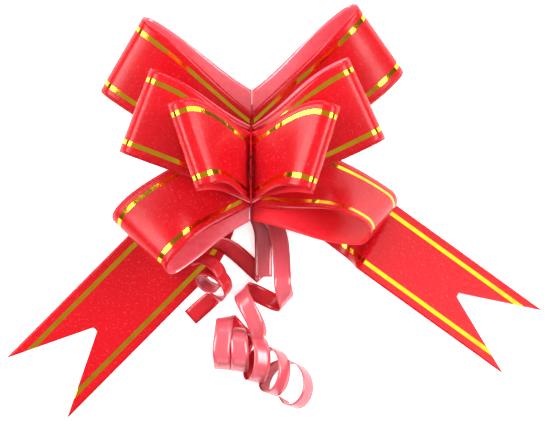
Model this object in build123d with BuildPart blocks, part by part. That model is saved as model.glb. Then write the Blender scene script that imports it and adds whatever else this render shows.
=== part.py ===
from build123d import *
import os
from math import cos, radians, sin, tan

# Pre-made gift bow of two-ply satin film, lying face up on a table. Millimetres, +Z up.
# The origin is on the table, under the point where the pull ribbons leave the base seal.
# +Y runs to the top of the bow and +X to its right hand side.

os.makedirs("parts", exist_ok=True)

# Ribbon
ribbon_width = 30.0  # wide ribbon, edge to edge
film = 0.2  # one ply
pull_width = 6.0  # pull ribbon, edge to edge
pull_film = 0.2

# Stack of seals, from the table up: the seal's middle height, then its lower and upper end along Y
seal_height = 2.0  # length of weld along the ribbon
seal_film = 0.5  # two plies melted into one
channel = 7.5  # gap in each weld that the pull ribbons run through
seals = {
    "seal_1": (2.0, -9.0, 21.0),
    "seal_2": (11.0, -14.0, 16.0),
    "seal_3": (19.5, -14.5, 14.5),
    "seal_4": (27.0, -14.0, 12.0),
    "seal_5": (34.5, -12.5, 9.5),
}
seal_gap = 0.4  # from a weld to the ply that bends away from it
root_side = 1.0  # from the bow's middle plane to the foot of each loop

# Foot of each pair of loops: the seals below and above it, then the lower and upper end along Y
# of its back wall and of its front wall, where the film is gathered to less than its width
pairs = {
    "upper": dict(seals=("seal_1", "seal_2"), back=(-4.0, 26.0), front=(-10.0, 18.0)),
    "lower": dict(seals=("seal_2", "seal_3"), back=(-19.5, 9.5), front=(-14.5, 12.5)),
    "middle": dict(seals=("seal_3", "seal_4"), back=(-12.0, 16.0), front=(-13.0, 11.0)),
    "centre": dict(seals=("seal_4", "seal_5"), back=(-12.5, 10.5), front=(-12.5, 9.5)),
}

# Each loop's fold, measured from the pull ribbons: bearing, reach and height of its outermost point,
# bearing and lean of the fold line, radius of the fold, how far round it the back and front walls
# leave it, and how far each wall bows out at its foot. Angles in degrees.
loops = {
    "upper_loop_left": dict(bearing=139.5, reach=58.9, height=10.0, across=58.3, lean=17.5,
                            fold=4.6, wrap=(92, 74), bow=(0, -11)),
    "upper_loop_right": dict(bearing=44.5, reach=62.1, height=12.0, across=127.3, lean=26.7,
                             fold=4.6, wrap=(90, 60), bow=(0, -13)),
    "lower_loop_left": dict(bearing=216.5, reach=47.4, height=17.5, across=137.8, lean=-29.3,
                            fold=5.0, wrap=(72, 76), bow=(-11, 2)),
    "lower_loop_right": dict(bearing=-23.4, reach=49.0, height=19.5, across=46.6, lean=-59.3,
                             fold=4.5, wrap=(64, 76), bow=(-13, 4)),
    "middle_loop_left": dict(bearing=155.4, reach=43.1, height=28.0, across=69.6, lean=2.0,
                             fold=4.6, wrap=(84, 70), bow=(-3, 6)),
    "middle_loop_right": dict(bearing=29.4, reach=44.8, height=28.0, across=115.0, lean=8.0,
                              fold=4.6, wrap=(84, 70), bow=(-3, 6)),
    "centre_loop_left": dict(bearing=166.5, reach=22.3, height=46.0, across=108.8, lean=-5.8,
                             fold=4.0, wrap=(84, 76), bow=(-8, 8)),
    "centre_loop_right": dict(bearing=10.0, reach=24.8, height=46.0, across=72.5, lean=-6.3,
                              fold=4.0, wrap=(84, 76), bow=(-8, 8)),
}
wall_steps = 7
fold_steps = 8

# Tails: bearing, distance of the middle line or the edge on the table from the pull ribbons,
# roll about that line, where the free end starts and ends along the bearing, and the depth of the notch
tails = {
    "left": dict(bearing=225.2, offset=1.6, roll=0.0, lift_at=36.0, reach=108.6, notch=31.0),
    "right": dict(bearing=-35.8, offset=18.1, roll=30.0, lift_at=51.0, reach=112.0, notch=29.5),
}
notch_round = 2.5
tail_gap = 0.25  # between the fixed root of a tail and its free end
base_side = 1.0  # how far the left tail's ply reaches past the middle plane
tail_foot = (-9.0, 21.0)  # ends of the tail's foot along Y

# Pull ribbons: inside the channels, then flat on the table by hand-placed points, then curled
pull_side = 0.13  # from the middle plane to the middle of each ribbon inside the channels
pull_foot = 0.85  # lowest point of the pull ribbons inside the stack
pull_routes = {
    "pull_ribbon_short": (0.3, [(-2.2, 8.0), (-2.2, -11.0), (3.8, -21.0), (4.0, -38.0)]),
    "pull_ribbon_long": (0.55, [(-2.2, 8.0), (-2.2, -11.5), (9.4, -22.5), (11.2, -50.0)]),
}
fold_back = [(5.2, -37.2), (-6.5, -31.2)]  # the short ribbon turns back over itself
curls = {
    "pull_ribbon_short_curl": (8.0, [(-9.3, -33.9), (-12.0, -42.5), (-19.5, -51.5)]),
    "pull_ribbon_long_curl": (14.0, [(8.5, -51.5), (-3.5, -56.0), (-2.5, -67.0), (13.5, -77.0)]),
}
curl_gap = 0.3  # under each curl


def pointing(bearing, lean=0.0):
    """Unit vector at a bearing in the XY plane, raised by lean degrees."""
    level = cos(radians(lean))
    return Vector(level * cos(radians(bearing)), level * sin(radians(bearing)), sin(radians(lean)))


def blend(start, end, share):
    """Point or vector between two others, easing out of the first and into the second."""
    ease = share * share * (3 - 2 * share)
    return start * (1 - ease) + end * ease


def wall(foot, foot_way, shoulder, shoulder_way, share):
    """Point on a Bezier curve from a loop's foot to the shoulder of its fold."""
    reach = (shoulder - foot).length / 3
    points = [foot, foot + foot_way * reach, shoulder - shoulder_way * reach, shoulder]
    rest = 1 - share
    weights = [rest**3, 3 * rest * rest * share, 3 * rest * share * share, share**3]
    return sum((point * weight for point, weight in zip(points, weights)), Vector())


def foot_of(pair, side, face):
    """Middle and width vector of a loop's foot, beside the seal that its wall is welded to."""
    low, high = pairs[pair][face]
    seal = pairs[pair]["seals"][0 if face == "back" else 1]
    clear = seal_height / 2 + seal_gap
    height = seals[seal][0] + (clear if face == "back" else -clear)
    return Vector(side * root_side, (low + high) / 2, height), Vector(0, high - low, 0)


def band(pair, side, spec):
    """Centre and width vector at each step along a loop, from its back foot round to its front foot."""
    line = pointing(spec["across"], spec["lean"])
    apex = pointing(spec["bearing"]) * spec["reach"] + Vector(0, 0, spec["height"])
    back_foot, back_span = foot_of(pair, side, "back")
    front_foot, front_span = foot_of(pair, side, "front")
    out = apex - (back_foot + front_foot) / 2
    out = (out - line * out.dot(line)).normalized()
    face = out.cross(line) * (1 if out.cross(line).Z > 0 else -1)
    centre = apex - out * spec["fold"]
    full = line * ribbon_width
    back_wrap, front_wrap = [radians(angle) for angle in spec["wrap"]]

    steps = []
    for foot, span, wrap, sign, bow in (
        (back_foot, back_span, back_wrap, -1, spec["bow"][0]),
        (front_foot, front_span, front_wrap, 1, spec["bow"][1]),
    ):
        shoulder = centre + (out * cos(wrap) + face * sign * sin(wrap)) * spec["fold"]
        way = out * sin(wrap) - face * sign * cos(wrap)
        start = (shoulder - foot).normalized() + face * sign * sin(radians(bow))
        side_steps = [
            (wall(foot, start.normalized(), shoulder, way, step / wall_steps),
             blend(span, full, step / wall_steps))
            for step in range(wall_steps + 1)
        ]
        steps.append(side_steps)
    turn = [
        -back_wrap + (back_wrap + front_wrap) * step / fold_steps for step in range(1, fold_steps)
    ]
    bend = [(centre + (out * cos(a) + face * sin(a)) * spec["fold"], full) for a in turn]
    return steps[0] + bend + steps[1][::-1]


def cross_sections(steps):
    """Plane and width of the film at each step: X across the ribbon, Y through the film."""
    sections = []
    for index, (centre, span) in enumerate(steps):
        before = steps[max(index - 1, 0)][0]
        after = steps[min(index + 1, len(steps) - 1)][0]
        through = span.cross(after - before).normalized()
        sections.append((Plane(origin=centre, x_dir=span, z_dir=span.cross(through)), span.length))
    return sections


# Seals: each weld is two bars, above and below the channel
for name, (height, low, high) in seals.items():
    middle = (low + high) / 2
    bar = (high - low - channel) / 2
    with BuildPart() as seal:
        with BuildSketch(Plane.YZ):
            for sign in (-1, 1):
                with Locations((middle + sign * (channel + bar) / 2, height)):
                    Rectangle(bar, seal_height)
        extrude(amount=seal_film / 2, both=True)
    seal.part.label = name
    export_step(seal.part, f"parts/{name}.step")

# Loops
for name, spec in loops.items():
    pair, side = name.split("_loop_")
    sections = cross_sections(band(pair, -1 if side == "left" else 1, spec))
    with BuildPart() as loop:
        for plane, width in sections:
            with BuildSketch(plane):
                Rectangle(width, film)
        loft(ruled=True)
    loop.part.label = name
    export_step(loop.part, f"parts/{name}.step")

# Tails: a fixed root that carries the bow on the table, and a free end with a swallowtail notch
for side, spec in tails.items():
    along = pointing(spec["bearing"])
    sideways = Vector(0, 0, 1).cross(along)
    upward = Vector(0, 0, 1) * cos(radians(spec["roll"])) + sideways * sin(radians(spec["roll"]))
    lower, upper = (-ribbon_width, 0.0) if spec["roll"] else (-ribbon_width / 2, ribbon_width / 2)
    lying = Plane(origin=sideways * spec["offset"], x_dir=along, z_dir=upward)
    with BuildPart() as tail:
        with BuildSketch(lying):
            with BuildLine():
                Polyline(
                    (spec["lift_at"], lower),
                    (spec["reach"], lower),
                    (spec["reach"] - spec["notch"], (lower + upper) / 2),
                    (spec["reach"], upper),
                    (spec["lift_at"], upper),
                    close=True,
                )
            make_face()
            tip = vertices().filter_by(
                lambda v: abs((v.center() - lying.origin).dot(along) - spec["reach"] + spec["notch"]) < 0.1
            )
            fillet(tip, notch_round)
        extrude(amount=film)
    tail.part.label = f"tail_{side}"
    export_step(tail.part, f"parts/tail_{side}.step")

    end = spec["lift_at"] - tail_gap
    with BuildPart() as root:
        if side == "left":
            corner_low = lying.from_local_coords((end, lower, 0))
            corner_high = lying.from_local_coords((end, upper, 0))
            with BuildSketch(Plane.XY):
                with BuildLine():
                    Polyline(
                        (base_side, tail_foot[0]),
                        (corner_high.X, corner_high.Y),
                        (corner_low.X, corner_low.Y),
                        (base_side, tail_foot[1]),
                        close=True,
                    )
                make_face()
            extrude(amount=film)
        else:
            foot_middle = Vector(base_side + tail_gap, sum(tail_foot) / 2, film / 2)
            foot_span = Vector(0, tail_foot[1] - tail_foot[0], 0)
            end_middle = lying.from_local_coords((end, (lower + upper) / 2, film / 2))
            end_span = lying.from_local_coords((end, upper, film / 2)) - lying.from_local_coords(
                (end, lower, film / 2)
            )
            root_steps = []
            for share in [step / wall_steps for step in range(wall_steps + 1)]:
                span = blend(foot_span, end_span, share**4)
                middle = foot_middle * (1 - share) + end_middle * share
                lift = film / 2 + abs(span.Z) / 2
                root_steps.append((Vector(middle.X, middle.Y, lift), span))
            for plane, width in cross_sections(root_steps):
                with BuildSketch(plane):
                    Rectangle(width, film)
            loft(ruled=True)
    root.part.label = f"tail_{side}_root"
    export_step(root.part, f"parts/tail_{side}_root.step")

# Pull ribbons inside the stack: a strip through the channels of all the seals
welds = [((low + high) / 2, height) for height, low, high in seals.values()]
welds = [(welds[0][0], pull_foot)] + welds[:-1] + [(welds[-1][0], welds[-1][1] + seal_height / 2)]
for name, side in (("pull_ribbon_long_core", 1), ("pull_ribbon_short_core", -1)):
    with BuildPart() as core:
        with BuildSketch(Plane.YZ.offset(side * pull_side)):
            with BuildLine():
                Polyline(
                    [(y - pull_width / 2, z) for y, z in welds]
                    + [(y + pull_width / 2, z) for y, z in reversed(welds)],
                    close=True,
                )
            make_face()
        extrude(amount=pull_film / 2, both=True)
    core.part.label = name
    export_step(core.part, f"parts/{name}.step")

# Pull ribbons on the table
for name, (height, route) in pull_routes.items():
    with BuildPart() as strip:
        with BuildSketch(Plane.XY.offset(height)):
            with BuildLine():
                Polyline(route)
            trace(line_width=pull_width)
        extrude(amount=pull_film)
        if name == "pull_ribbon_short":
            with BuildSketch(Plane.XY.offset(height + pull_film)):
                with BuildLine():
                    Polyline(fold_back)
                trace(line_width=pull_width)
            extrude(amount=pull_film)
    strip.part.label = name
    export_step(strip.part, f"parts/{name}.step")

# Curls: the outer shape of the curled ends
for name, (size, route) in curls.items():
    with BuildPart() as curl:
        with BuildLine() as path:
            points = [Vector(x, y, size / 2 + curl_gap) for x, y in route]
            turns = [
                (b - a).get_angle(c - b) for a, b, c in zip(points, points[1:], points[2:])
            ]
            runs = [(b - a).length for a, b in zip(points, points[1:])]
            radii = [
                0.45 * min(runs[i], runs[i + 1]) / tan(radians(turn / 2))
                for i, turn in enumerate(turns)
            ]
            FilletPolyline(*points, radius=radii)
        with BuildSketch(Plane(origin=path.line @ 0, z_dir=path.line % 0)):
            Circle(size / 2)
        sweep()
    print(name, "bend radii", [round(radius, 1) for radius in radii])
    curl.part.label = name
    export_step(curl.part, f"parts/{name}.step")
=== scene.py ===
from math import cos, pi, radians, sin

import bmesh
import bpy
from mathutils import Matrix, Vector, noise


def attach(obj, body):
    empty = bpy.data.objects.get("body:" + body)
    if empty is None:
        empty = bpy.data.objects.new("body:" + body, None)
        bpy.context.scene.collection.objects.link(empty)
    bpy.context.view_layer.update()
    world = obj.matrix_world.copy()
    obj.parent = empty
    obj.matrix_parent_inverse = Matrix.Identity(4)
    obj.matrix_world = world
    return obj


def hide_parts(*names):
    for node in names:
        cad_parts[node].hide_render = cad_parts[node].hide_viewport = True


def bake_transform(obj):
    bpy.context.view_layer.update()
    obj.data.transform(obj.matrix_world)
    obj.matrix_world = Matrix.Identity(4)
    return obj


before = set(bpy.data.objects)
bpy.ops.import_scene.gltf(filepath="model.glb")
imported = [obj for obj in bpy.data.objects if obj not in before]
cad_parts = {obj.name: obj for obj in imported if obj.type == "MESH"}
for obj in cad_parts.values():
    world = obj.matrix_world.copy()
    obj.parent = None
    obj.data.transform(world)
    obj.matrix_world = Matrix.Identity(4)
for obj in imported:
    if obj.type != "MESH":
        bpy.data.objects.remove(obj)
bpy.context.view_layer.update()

mm = 0.001
scene = bpy.context.scene
scene.view_settings.view_transform = "Standard"
print("frame loaded")

studio = {
    "height": 750 * mm,            # the bow is seen from straight above
    "aim": (8.05 * mm, -16.8 * mm),
    "fieldWidth": 192.5 * mm,      # what the camera sees across the table
    "floorSize": 3.0,
    "floorDrop": 0.2 * mm,         # so that the floor and the film that lies on it don't flicker
    "floorRough": 0.9,
    "floorGlow": 0.55,
    "sensor": 36.0,                # millimetres across
    "roomGlow": 0.52,
    "lit": (0, 0, 20 * mm),        # where the softboxes point
}


# sRGB hex to the linear colour that shaders use
def linear(hexColour):
    channels = [int(hexColour[i:i + 2], 16) / 255 for i in (1, 3, 5)]
    return [c / 12.92 if c <= 0.04045 else ((c + 0.055) / 1.055) ** 2.4 for c in channels] + [1.0]


def makeCamera(name="camera"):
    data = bpy.data.cameras.new(name)
    data.sensor_width = studio["sensor"]
    data.lens = studio["sensor"] * studio["height"] / studio["fieldWidth"]
    data.clip_start = 0.01
    camera = bpy.data.objects.new(name, data)
    camera.location = (*studio["aim"], studio["height"])
    scene.collection.objects.link(camera)
    scene.camera = camera


def makeLight(name, place, target, size, power, colour="#FFFFFF"):
    data = bpy.data.lights.new(name, "AREA")
    data.shape = "RECTANGLE"
    data.size, data.size_y = size
    data.energy = power
    data.color = linear(colour)[:3]
    lamp = bpy.data.objects.new(name, data)
    lamp.location = place
    lamp.rotation_euler = (Vector(target) - Vector(place)).to_track_quat("-Z", "Y").to_euler()
    scene.collection.objects.link(lamp)


# one node with its settings; links are (output socket or fixed value, this node's input name or number)
def addNode(tree, kind, links=(), **settings):
    node = tree.nodes.new(kind)
    for name, value in settings.items():
        if hasattr(node, name):
            setattr(node, name, value)
        else:
            node.inputs[name.replace("_", " ")].default_value = value
    for source, target in links:
        if isinstance(source, bpy.types.NodeSocket):
            tree.links.new(source, node.inputs[target])
        else:
            node.inputs[target].default_value = source
    return node


softboxes = {
    "leftSoftbox": dict(place=(-0.72, 0.12, 0.58), size=(0.80, 0.34), power=11.0),
    "rightSoftbox": dict(place=(0.72, 0.10, 0.58), size=(0.80, 0.34), power=10.0),
    "frontSoftbox": dict(place=(0.10, -0.85, 0.42), size=(0.60, 0.35), power=1.0),
    "rearSoftbox": dict(place=(-0.02, 0.86, 0.50), size=(0.50, 0.30), power=4.5),
    "backSoftbox": dict(place=(0.45, 0.68, 0.50), size=(0.60, 0.40), power=1.4),
}
makeCamera()
for name, spec in softboxes.items():
    makeLight(name, spec["place"], studio["lit"], spec["size"], spec["power"])

# a pale room: darker straight overhead, where the camera hangs, brightest round that, darker at its walls
world = bpy.data.worlds.new("studio")
world.use_nodes = True
sky = world.node_tree
incoming = addNode(sky, "ShaderNodeTexCoord").outputs["Generated"]
upwards = addNode(sky, "ShaderNodeSeparateXYZ", [(incoming, 0)]).outputs["Z"]
profile = addNode(sky, "ShaderNodeValToRGB", [(upwards, 0)])
for place, level in ((0.15, 0.28), (0.50, 0.48), (0.74, 0.90), (0.89, 1.0), (0.97, 0.95)):
    stop = profile.color_ramp.elements.new(place)
    stop.color = (level, level, level, 1)
profile.color_ramp.elements.remove(profile.color_ramp.elements[0])
profile.color_ramp.elements[-1].color = (0.88, 0.88, 0.88, 1)
sky.links.new(profile.outputs["Color"], sky.nodes["Background"].inputs["Color"])
sky.nodes["Background"].inputs["Strength"].default_value = studio["roomGlow"]
scene.world = world

floorMesh = bmesh.new()
bmesh.ops.create_grid(floorMesh, x_segments=1, y_segments=1, size=studio["floorSize"] / 2)
bmesh.ops.translate(floorMesh, verts=floorMesh.verts, vec=(0, 0, -studio["floorDrop"]))
floorData = bpy.data.meshes.new("floor")
floorMesh.to_mesh(floorData)
floor = bpy.data.objects.new("floor", floorData)
scene.collection.objects.link(floor)
floorMaterial = bpy.data.materials.new("matte white backdrop")
floorMaterial.use_nodes = True
paper = floorMaterial.node_tree.nodes["Principled BSDF"].inputs    # lit from below too, so it stays white
paper["Base Color"].default_value = linear("#FFFFFF")
paper["Roughness"].default_value = studio["floorRough"]
paper["Emission Color"].default_value = linear("#FFFFFF")
paper["Emission Strength"].default_value = studio["floorGlow"]
floorData.materials.append(floorMaterial)
print("studio ready")

film = {
    "outer": "#BE0F19",        # dyed polypropylene, saturated red
    "outerDeep": "#AE0A14",
    "inner": "#EC6C78",        # reverse, pearly pink
    "innerDeep": "#DC4653",
    "deep": "#F0303C",         # painted shade and light: plain red reverse of three loops, painted bright as if red light bounced inside them and came through the film
    "paintedShadeDark": "#E22630",
    "glintFleck": "#EE6C74",        # pearl flecks painted pale, a painted glint of the light their pigment would catch
    "fleckFrom": 0.58,         # noise where the flecks begin and where they are full
    "fleckTo": 0.76,
    "fleckMost": 0.13,
    "foil": "#F7CB2E",         # hot-stamped gold foil
    # painted reflection: deeper gold for where the foil would mirror darker surroundings
    "foilDarkReflection": "#D99A1E",
    "stripeAt": 0.13,          # stripe's middle from the ribbon's edge, as a share of its width
    "stripeHalf": 0.027,
    "foilRough": 0.09,
    "foilCrinkle": 0.3 * mm,
    "filmRough": (0.19, 0.30),     # least and most, over the handling lines
    "handlingScale": (34.0, 2.5, 1.0),
    "handlingDepth": 0.2 * mm,
    "handlingShare": 0.30,
}


# noise scale for blotches this many millimetres wide
def blotch(size):
    return 1 / (size * mm)


# a Mix node's sockets when it mixes colours
mixShare, mixFirst, mixSecond, mixResult = 0, 6, 7, 2


# Polypropylene gift ribbon: an extruded, embossed film. It gives the eye a saturated colour with a satin
# gloss, broken by faint handling lines, and on its red face two mirror-bright hot-stamped foil stripes.
def ribbonMaterial(name, outer, sheen, colours):
    material = bpy.data.materials.new(name)
    material.use_nodes = True
    tree = material.node_tree
    shader = tree.nodes["Principled BSDF"]
    uv = addNode(tree, "ShaderNodeUVMap", uv_map="UVMap").outputs["UV"]
    across = addNode(tree, "ShaderNodeSeparateXYZ", [(uv, 0)]).outputs["Y"]
    place = addNode(tree, "ShaderNodeTexCoord").outputs["Object"]

    # handling lines that run across the ribbon, as its folds do: about 3 mm apart and 12 mm long
    stretch = addNode(tree, "ShaderNodeMapping", [(uv, "Vector")], Scale=film["handlingScale"]).outputs[0]
    streaks = addNode(tree, "ShaderNodeTexNoise", [(stretch, "Vector")], Scale=1.0, Detail=4.0).outputs[0]
    clouds = addNode(tree, "ShaderNodeTexNoise", [(place, "Vector")], Scale=blotch(2.0), Detail=5.0)
    tones = [(clouds.outputs[0], mixShare), (linear(film[colours[0]]), mixFirst),
             (linear(film[colours[1]]), mixSecond)]
    colour = addNode(tree, "ShaderNodeMix", tones, data_type="RGBA").outputs[mixResult]
    low, high = film["filmRough"]
    rough = addNode(tree, "ShaderNodeMapRange", [(streaks, "Value")], To_Min=low, To_Max=high).outputs[0]
    bump = addNode(tree, "ShaderNodeBump", [(streaks, "Height")],
                   Strength=film["handlingShare"], Distance=film["handlingDepth"]).outputs[0]

    if outer:
        # pearl flecks in the film, their glint painted in as a pale colour: real ones are under 0.1 mm, drawn
        # at 0.8 mm so that they show
        grains = addNode(tree, "ShaderNodeTexNoise", [(place, "Vector")], Scale=blotch(0.8), Detail=1.0)
        glintFlecks = addNode(tree, "ShaderNodeMapRange", [(grains.outputs[0], "Value")],
                         From_Min=film["fleckFrom"], From_Max=film["fleckTo"], To_Max=film["fleckMost"])
        tones = [(glintFlecks.outputs[0], mixShare), (colour, mixFirst), (linear(film["glintFleck"]), mixSecond)]
        colour = addNode(tree, "ShaderNodeMix", tones, data_type="RGBA").outputs[mixResult]
        # one where the foil is: within half a stripe of either stripe's middle
        fromMiddle = addNode(tree, "ShaderNodeMath", [(across, 0), (0.5, 1)], operation="SUBTRACT")
        fromMiddle = addNode(tree, "ShaderNodeMath", [(fromMiddle.outputs[0], 0)], operation="ABSOLUTE")
        stripe = [(fromMiddle.outputs[0], 0), (0.5 - film["stripeAt"], 1), (film["stripeHalf"], 2)]
        foil = addNode(tree, "ShaderNodeMath", stripe, operation="COMPARE").outputs[0]
        # painted reflection: the foil blotched with deeper gold, about 5.5 mm across, for the darker
        # surroundings it would mirror
        foilReflectionBlotches = addNode(tree, "ShaderNodeTexNoise", [(place, "Vector")], Scale=blotch(5.5), Detail=2.0)
        tones = [(foilReflectionBlotches.outputs[0], mixShare), (linear(film["foil"]), mixFirst),
                 (linear(film["foilDarkReflection"]), mixSecond)]
        gold = addNode(tree, "ShaderNodeMix", tones, data_type="RGBA").outputs[mixResult]
        tones = [(foil, mixShare), (colour, mixFirst), (gold, mixSecond)]
        colour = addNode(tree, "ShaderNodeMix", tones, data_type="RGBA").outputs[mixResult]
        rough = addNode(tree, "ShaderNodeMix", [(foil, 0), (rough, 2), (film["foilRough"], 3)],
                        data_type="FLOAT").outputs[0]
        crinkle = addNode(tree, "ShaderNodeTexNoise", [(place, "Vector")], Scale=blotch(9.0), Detail=1.0)
        bump = addNode(tree, "ShaderNodeBump", [(crinkle.outputs[0], "Height"), (bump, "Normal"),
                                                (foil, "Strength")], Distance=film["foilCrinkle"]).outputs[0]
        tree.links.new(foil, shader.inputs["Metallic"])
    tree.links.new(rough, shader.inputs["Roughness"])
    tree.links.new(colour, shader.inputs["Base Color"])
    tree.links.new(bump, shader.inputs["Normal"])
    shader.inputs["Specular IOR Level"].default_value = sheen
    return material


outerFilm = ribbonMaterial("satin polypropylene film, red face",
                           outer=True, sheen=0.20, colours=("outer", "outerDeep"))
innerFilm = ribbonMaterial("satin polypropylene film, pearly reverse",
                           outer=False, sheen=1.0, colours=("inner", "innerDeep"))
# the same reverse, painted plain red and hardly glossy as painted shade and red bounce light, for three loops
paintedShadeFilm = ribbonMaterial("satin polypropylene film, reverse with painted shade",
                          outer=False, sheen=0.08, colours=("deep", "paintedShadeDark"))


curling = {
    "rough": 0.27,
    "drawnScale": (6.0, 14.0, 1.0),
}


# Polypropylene curling ribbon: a thin drawn film. It gives the eye a silky gloss and faint lines that run
# along it. The welds are the same film melted into a bar, without the pearl.
def pullMaterial(name, colour, deep, sheen):
    material = bpy.data.materials.new(name)
    material.use_nodes = True
    tree = material.node_tree
    shader = tree.nodes["Principled BSDF"]
    uv = addNode(tree, "ShaderNodeUVMap", uv_map="UVMap").outputs["UV"]
    stretch = addNode(tree, "ShaderNodeMapping", [(uv, "Vector")], Scale=curling["drawnScale"]).outputs[0]
    streaks = addNode(tree, "ShaderNodeTexNoise", [(stretch, "Vector")], Scale=1.0, Detail=4.0).outputs[0]
    tones = [(streaks, mixShare), (linear(colour), mixFirst), (linear(deep), mixSecond)]
    tone = addNode(tree, "ShaderNodeMix", tones, data_type="RGBA").outputs[mixResult]
    tree.links.new(tone, shader.inputs["Base Color"])
    shader.inputs["Roughness"].default_value = curling["rough"]
    shader.inputs["Specular IOR Level"].default_value = sheen
    return material


pullFace = pullMaterial("curling ribbon, pearly face", "#D65A66", "#BF3F4B", sheen=1.0)
pullBack = pullMaterial("curling ribbon, red back", "#CF1F2B", "#B01420", sheen=0.4)
weldFilm = pullMaterial("melted polypropylene weld", "#BE0F19", "#A60A14", sheen=0.2)

ribbon = {
    "width": 30.0,
    "film": 0.2,
    "sealHeight": 2.0,
    "sealGap": 0.4,        # between a weld and the foot of a loop
    "rootSide": 0.5,       # from the middle plane to the foot of a loop
    "dent": 0.1,
    "dentScale": (5, 3.2),     # dents along a loop and across it
    "dentFade": 0.125,     # share of a loop's length over which they begin
    "slopeStep": 0.004,    # share of its length over which a loop's direction is taken
    "bulge": 0.45,         # how much farther out a foot goes round the pull ribbons
    "pullClear": 7.0,      # along a weld, from the middle of the pull ribbons to where a foot closes again
    "footShare": 0.08,     # share of a loop's length over which its foot takes that shape
    "loopGrid": (120, 20),
    "tailGrid": (150, 32),
}
seals = {    # height, then the ends along Y
    "seal_1": (2.0, -9.0, 21.0),
    "seal_2": (11.0, -14.0, 16.0),
    "seal_3": (19.5, -14.5, 14.5),
    "seal_4": (27.0, -14.0, 12.0),
    "seal_5": (34.5, -12.5, 9.5),
}
pairs = {
    "upper": dict(seals=("seal_1", "seal_2"), back=(-4.0, 26.0), front=(-10.0, 18.0), closing=0.38),
    "lower": dict(seals=("seal_2", "seal_3"), back=(-19.5, 9.5), front=(-14.5, 12.5), closing=0.15),
    "middle": dict(seals=("seal_3", "seal_4"), back=(-13.5, 13.0), front=(-13.0, 12.3), closing=0.15),
    "centre": dict(seals=("seal_4", "seal_5"), back=(-12.5, 10.5), front=(-12.5, 9.5), closing=0.15),
}
loops = {
    "upper_loop_left": dict(bearing=139.5, reach=58.9, height=10.0, across=58.3, lean=17.5,
                            fold=4.6, wrap=(92, 74), bow=(0, -11), body="upper_pair"),
    "upper_loop_right": dict(bearing=44.5, reach=62.1, height=12.0, across=127.3, lean=26.7,
                             fold=4.6, wrap=(90, 60), bow=(0, -13), body="upper_pair"),
    "lower_loop_left": dict(bearing=216.5, reach=47.4, height=17.5, across=137.8, lean=-29.3,
                            fold=5.0, wrap=(72, 76), bow=(-11, 2), body="lower_pair"),
    "lower_loop_right": dict(bearing=-23.4, reach=49.0, height=19.5, across=46.6, lean=-59.3,
                             fold=4.5, wrap=(64, 76), bow=(-13, 4), body="lower_pair"),
    "middle_loop_left": dict(bearing=155.4, reach=43.1, height=28.0, across=69.6, lean=2.0,
                             fold=4.6, wrap=(84, 70), bow=(-3, 6), body="middle_left"),
    "middle_loop_right": dict(bearing=29.4, reach=44.8, height=28.0, across=115.0, lean=8.0,
                              fold=4.6, wrap=(84, 70), bow=(-3, 6), body="middle_right"),
    "centre_loop_left": dict(bearing=166.5, reach=22.3, height=46.0, across=108.8, lean=-5.8,
                             fold=4.0, wrap=(84, 76), bow=(-8, 8), body="centre_left"),
    "centre_loop_right": dict(bearing=10.0, reach=24.8, height=46.0, across=72.5, lean=-6.3,
                              fold=4.0, wrap=(84, 76), bow=(-8, 8), body="centre_right"),
}


def pointing(bearing, lean=0.0):
    level = cos(radians(lean))
    return Vector((level * cos(radians(bearing)), level * sin(radians(bearing)), sin(radians(lean))))


def ease(share):
    return share * share * (3 - 2 * share)


def bezier(points, share):
    rest = 1 - share
    weights = (rest ** 3, 3 * rest * rest * share, 3 * rest * share * share, share ** 3)
    return sum((point * weight for point, weight in zip(points, weights)), Vector())


def footOf(pair, side, face):
    low, high = pairs[pair][face]
    seal = pairs[pair]["seals"][0 if face == "back" else 1]
    clear = ribbon["sealHeight"] / 2 + ribbon["sealGap"]
    height = seals[seal][0] + (clear if face == "back" else -clear)
    return Vector((side * ribbon["rootSide"], (low + high) / 2, height)), Vector((0, high - low, 0))


# gives a function from 0 at the back foot to 1 at the front foot, for the film's middle and its width vector,
# then the film's length, and whether its outer face is on the grid's other side
def loopPath(pair, side, spec):
    line = pointing(spec["across"], spec["lean"])
    apex = pointing(spec["bearing"]) * spec["reach"] + Vector((0, 0, spec["height"]))
    backFoot, backSpan = footOf(pair, side, "back")
    frontFoot, frontSpan = footOf(pair, side, "front")
    out = apex - (backFoot + frontFoot) / 2
    out = (out - line * out.dot(line)).normalized()
    face = out.cross(line)
    face *= 1 if face.z > 0 else -1
    middle = apex - out * spec["fold"]
    full = line * ribbon["width"]
    backWrap, frontWrap = (radians(angle) for angle in spec["wrap"])

    def wallPoints(foot, wrap, sign, bow):
        shoulder = middle + (out * cos(wrap) + face * sign * sin(wrap)) * spec["fold"]
        way = out * sin(wrap) - face * sign * cos(wrap)
        start = ((shoulder - foot).normalized() + face * sign * sin(radians(bow))).normalized()
        reach = (shoulder - foot).length / 3
        return [foot, foot + start * reach, shoulder - way * reach, shoulder]

    back = wallPoints(backFoot, backWrap, -1, spec["bow"][0])
    front = wallPoints(frontFoot, frontWrap, 1, spec["bow"][1])
    backLength = (back[3] - back[0]).length
    frontLength = (front[3] - front[0]).length
    foldLength = spec["fold"] * (backWrap + frontWrap)
    total = backLength + foldLength + frontLength

    def at(share):
        run = share * total
        if run < backLength:
            part = run / backLength
            return bezier(back, part), backSpan.lerp(full, ease(part))
        if run > backLength + foldLength:
            part = (total - run) / frontLength
            return bezier(front, part), frontSpan.lerp(full, ease(part))
        angle = -backWrap + (run - backLength) / spec["fold"]
        return middle + (out * cos(angle) + face * sin(angle)) * spec["fold"], full

    return at, total, out.cross(line).z > 0


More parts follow.
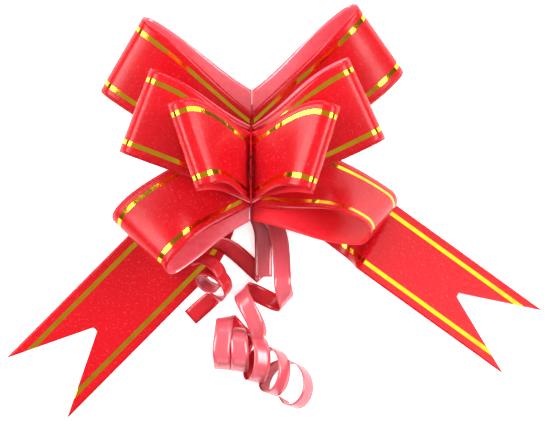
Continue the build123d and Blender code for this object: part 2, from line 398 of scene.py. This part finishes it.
# A film piece: a grid whose vertices are carried onto the film's path, then given its thickness.
# The first material is on the outer face, which turned puts on the grid's other side.
def filmPiece(name, grid, placeVertex, materials, thickness, turned=False):
    mesh = bmesh.new()
    mesh.loops.layers.uv.new("UVMap")
    bmesh.ops.create_grid(mesh, x_segments=grid[0], y_segments=grid[1], size=0.5, calc_uvs=True)
    for vertex in mesh.verts:
        vertex.co = placeVertex(vertex.co.x + 0.5, vertex.co.y + 0.5) * mm
    for face in mesh.faces:
        face.smooth = True
    if turned:
        bmesh.ops.reverse_faces(mesh, faces=mesh.faces)
    data = bpy.data.meshes.new(name)
    mesh.to_mesh(data)
    mesh.free()
    for material in materials:
        data.materials.append(material)
    piece = bpy.data.objects.new(name, data)
    scene.collection.objects.link(piece)
    shell = piece.modifiers.new("film", "SOLIDIFY")
    shell.thickness = thickness * mm
    shell.offset = 0
    shell.material_offset = 1
    shell.material_offset_rim = 0
    return piece


# loops whose reverse is painted plain red, for the shade and the red bounce light inside them
paintedShadeLoops = ("lower_loop_right", "centre_loop_left", "centre_loop_right")


def makeLoop(name, spec):
    pair, side = name.split("_loop_")
    sign = -1 if side == "left" else 1
    at, total, turned = loopPath(pair, sign, spec)
    seed = spec["bearing"]

    def placeVertex(along, across):
        middle, span = at(along)
        step = ribbon["slopeStep"]
        onward = at(min(along + step, 1))[0] - at(max(along - step, 0))[0]
        through = span.cross(onward).normalized()
        # the film is never quite flat: soft dents, fading out towards the welds
        lengthwise, crosswise = ribbon["dentScale"]
        dent = noise.noise(Vector((along * lengthwise, across * crosswise, seed))) * ribbon["dent"]
        fade = min(min(along, 1 - along) / ribbon["dentFade"], 1)
        point = middle + span * (across - 0.5) + through * dent * fade
        # at its foot each ply goes round the pull ribbons, and beside them it closes on the middle plane
        atFoot = max(1 - min(along, 1 - along) / ribbon["footShare"], 0) ** 2
        low, high = seals[pairs[pair]["seals"][0 if along < 0.5 else 1]][1:]
        nearPull = max(1 - ((point.y - (low + high) / 2) / ribbon["pullClear"]) ** 2, 0)
        point.x += sign * atFoot * (ribbon["bulge"] * nearPull - pairs[pair]["closing"] * (1 - nearPull))
        return point

    # painted shade: three loops get the red reverse in place of the pearly one
    reverse = paintedShadeFilm if name in paintedShadeLoops else innerFilm
    piece = filmPiece(name + "_film", ribbon["loopGrid"], placeVertex, [outerFilm, reverse],
                      ribbon["film"], turned)
    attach(piece, spec["body"])
    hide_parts(name)


for name, spec in loops.items():
    makeLoop(name, spec)
print("loops made")

tails = {
    "left": dict(bearing=225.2, offset=1.6, roll=0.0, liftAt=36.0, reach=108.6, notch=31.0, footSide=1.0),
    "right": dict(bearing=-35.8, offset=18.1, roll=30.0, liftAt=51.0, reach=112.0, notch=29.5, footSide=1.25),
}
tailFoot = (-9.0, 21.0)    # ends of the tails' foot along Y
tailRound = 0.06           # share of the half width over which the notch's bottom is rounded


def makeTail(side, spec):
    along = pointing(spec["bearing"])
    sideways = Vector((0, 0, 1)).cross(along)
    roll = radians(spec["roll"])
    level = sideways * cos(roll) - Vector((0, 0, 1)) * sin(roll)
    low, high = (-ribbon["width"], 0.0) if roll else (-ribbon["width"] / 2, ribbon["width"] / 2)
    footMiddle = Vector((spec["footSide"], sum(tailFoot) / 2, ribbon["film"] / 2))
    footSpan = Vector((0, tailFoot[1] - tailFoot[0], 0))
    liftMiddle = sideways * spec["offset"] + along * spec["liftAt"] + level * (low + high) / 2
    liftMiddle.z += ribbon["film"] / 2
    liftSpan = level * ribbon["width"]
    if footSpan.dot(liftSpan) < 0:
        footSpan = -footSpan
    rootLength = (liftMiddle - footMiddle).length

    def placeVertex(share, across):
        notchShare = max(abs(2 * across - 1), tailRound)
        freeLength = spec["reach"] - spec["liftAt"] - spec["notch"] * (1 - notchShare)
        run = share * (rootLength + freeLength)
        if run > rootLength:
            return liftMiddle + along * (run - rootLength) + liftSpan * (across - 0.5)
        part = run / rootLength
        turn = part ** 5 if roll else part
        span = footSpan.lerp(liftSpan, ease(turn))
        middle = footMiddle.lerp(liftMiddle, part)
        middle.z = ribbon["film"] / 2 + abs(span.z) / 2
        return middle + span * (across - 0.5)

    piece = filmPiece(f"tail_{side}_film", ribbon["tailGrid"], placeVertex, [outerFilm, innerFilm],
                      ribbon["film"])
    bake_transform(piece)
    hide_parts(f"tail_{side}", f"tail_{side}_root")


for side, spec in tails.items():
    makeTail(side, spec)
print("tails made")

pull = {
    "width": 6.0,
    "film": 0.2,
    "rows": 4,
    "coilPoints": 14,      # for each turn of a coil
    "longTop": 6.8,        # from a coil's middle to the top of its turns
    "shortTop": 5.0,
    "curveOrder": 3,
    "curveSteps": 6,       # from one control point to the next
}

# The long ribbon lies flat, rises, then falls into a coil. Each turn: the middle of the coil, the way
# from there to its lower right side, and how far it leans out of the level.
longTurns = [
    dict(middle=(9.0, -41.0, 7.2), side=(4.8, -4.2), lean=0),
    dict(middle=(0.0, -51.7, 7.2), side=(6.2, -6.4), lean=0),
    dict(middle=(-10.6, -63.3, 7.3), side=(-0.3, -8.0), lean=0),
    dict(middle=(-4.9, -63.8, 7.2), side=(-0.9, -7.2), lean=8),
    dict(middle=(1.3, -67.3, 7.4), side=(-1.8, -7.2), lean=22),
    dict(middle=(6.7, -71.6, 7.8), side=(-3.2, -6.6), lean=45),
    dict(middle=(14.6, -76.6, 7.8), side=(-3.4, -6.2), lean=50),
    dict(middle=(20.0, -80.0, 7.8), side=(-3.4, -6.2), lean=50),
]
shortTurns = [
    dict(middle=(-15.5, -35.0, 6.0), side=(3.7, -3.7), lean=48),
    dict(middle=(-14.9, -37.6, 5.9), side=(3.8, -3.6), lean=46),
    dict(middle=(-12.8, -41.2, 5.6), side=(4.2, -3.2), lean=42),
    dict(middle=(-12.5, -45.0, 5.6), side=(4.2, -3.2), lean=42),
]


# Points round a coil and the way across the ribbon at each. Turn numbers count from the top of the first
# turn, and outward -1 puts the ribbon's red back on the outside.
def coil(turns, first, last, height, outward=1):
    steps = round((last - first) * pull["coilPoints"])
    stations = []
    for step in range(steps + 1):
        turn = first + (last - first) * step / steps
        whole = min(int(turn), len(turns) - 2)
        part = turn - whole
        here, after = turns[whole], turns[whole + 1]
        middle = Vector(here["middle"]).lerp(Vector(after["middle"]), part)
        side = Vector((*here["side"], 0)).lerp(Vector((*after["side"], 0)), part)
        lean = radians(here["lean"] + (after["lean"] - here["lean"]) * part)
        level = Vector((-side.y, side.x, 0)).normalized()
        axis = level * cos(lean) - Vector((0, 0, 1)) * sin(lean)
        up = level * sin(lean) + Vector((0, 0, 1)) * cos(lean)
        angle = 2 * pi * turn
        stations.append((middle + side * sin(angle) + up * height * cos(angle), axis * outward))
    return stations


# points along the smooth NURBS curve that these control points pull
def splinePoints(name, points):
    data = bpy.data.curves.new(name, "CURVE")
    data.dimensions = "3D"
    spline = data.splines.new("NURBS")
    spline.points.add(len(points) - 1)
    for target, point in zip(spline.points, points):
        target.co = (*point, 1.0)
    spline.order_u = pull["curveOrder"]
    spline.use_endpoint_u = True
    spline.resolution_u = pull["curveSteps"]
    holder = bpy.data.objects.new(name, data)
    scene.collection.objects.link(holder)
    line = bpy.data.meshes.new_from_object(holder)
    found = [vertex.co.copy() for vertex in line.vertices]
    bpy.data.objects.remove(holder)
    return found


# a flat ribbon along stations of (middle, way across)
def makePullRibbon(name, stations, nodes):
    width = pull["width"]
    middles = splinePoints(name + "_middle", [point for point, way in stations])
    edges = splinePoints(name + "_edge", [point + way.normalized() * width / 2 for point, way in stations])
    count = len(middles) - 1
    ways = []
    for index, middle in enumerate(middles):
        tangent = middles[min(index + 1, count)] - middles[max(index - 1, 0)]
        way = edges[index] - middle
        ways.append((way - tangent * way.dot(tangent) / tangent.length_squared).normalized())

    def placeVertex(along, across):
        index = round(along * count)
        point = middles[index] + ways[index] * width * (across - 0.5)
        point.z = max(point.z, pull["film"] / 2)
        return point

    piece = filmPiece(name + "_film", (count, pull["rows"]), placeVertex, [pullFace, pullBack], pull["film"])
    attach(piece, "base")
    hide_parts(*nodes)


flatAcross = Vector((1, 0, 0))
longStations = [
    (Vector((-2.2, 8.0, 0.55)), flatAcross),
    (Vector((-2.0, -4.0, 0.6)), flatAcross),
    (Vector((-1.0, -11.5, 0.7)), Vector((0.95, 0.25, 0))),
    (Vector((7.0, -19.0, 1.3)), Vector((0.9, 0.3, 0))),
    (Vector((9.7, -25.0, 3.0)), Vector((1, 0.05, 0))),
    (Vector((10.3, -32.0, 7.5)), Vector((1, 0.05, 0))),
    (Vector((10.6, -38.5, 12.3)), Vector((1, 0.1, 0))),
    (Vector((10.6, -41.5, 13.0)), Vector((0.95, 0.3, 0))),
] + coil(longTurns, 0.16, 6.35, pull["longTop"])
makePullRibbon("pull_ribbon_long", longStations, ["pull_ribbon_long", "pull_ribbon_long_curl"])

shortStations = [
    (Vector((-2.2, 8.0, 0.3)), flatAcross),
    (Vector((-2.2, -11.0, 0.3)), flatAcross),
    (Vector((3.8, -21.0, 0.9)), flatAcross),
    (Vector((4.0, -30.0, 1.3)), flatAcross),
    (Vector((4.0, -37.0, 1.3)), flatAcross),
    (Vector((4.0, -39.0, 1.3)), Vector((0.96, 0.28, 0))),
    (Vector((3.9, -39.3, 0.8)), Vector((0.88, 0.48, 0))),
    (Vector((3.0, -38.4, 0.3)), Vector((0.78, 0.62, 0))),
    (Vector((0.5, -36.2, 0.3)), Vector((0.65, 0.76, 0))),
    (Vector((-5.0, -31.0, 0.4)), Vector((0.65, 0.76, 0))),
    (Vector((-10.0, -27.5, 1.4)), Vector((0.55, 0.7, 0.45))),
    (Vector((-15.0, -27.5, 3.2)), Vector((0.1, 0.45, 0.9))),
] + coil(shortTurns, 0.72, 2.3, pull["shortTop"], outward=-1) + [
    (Vector((-12.5, -45.5, 2.0)), Vector((-0.7, 0.4, 0.5))),
    (Vector((-16.5, -48.8, 0.9)), Vector((-0.68, 0.72, 0))),
    (Vector((-21.6, -53.4, 0.8)), Vector((-0.72, 0.68, 0))),
]
makePullRibbon("pull_ribbon_short", shortStations, ["pull_ribbon_short", "pull_ribbon_short_curl"])
print("pull ribbons made")

for name in list(seals) + ["pull_ribbon_long_core", "pull_ribbon_short_core"]:
    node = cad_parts[name]
    node.data.materials.clear()
    node.data.materials.append(weldFilm)
print("welds dressed")
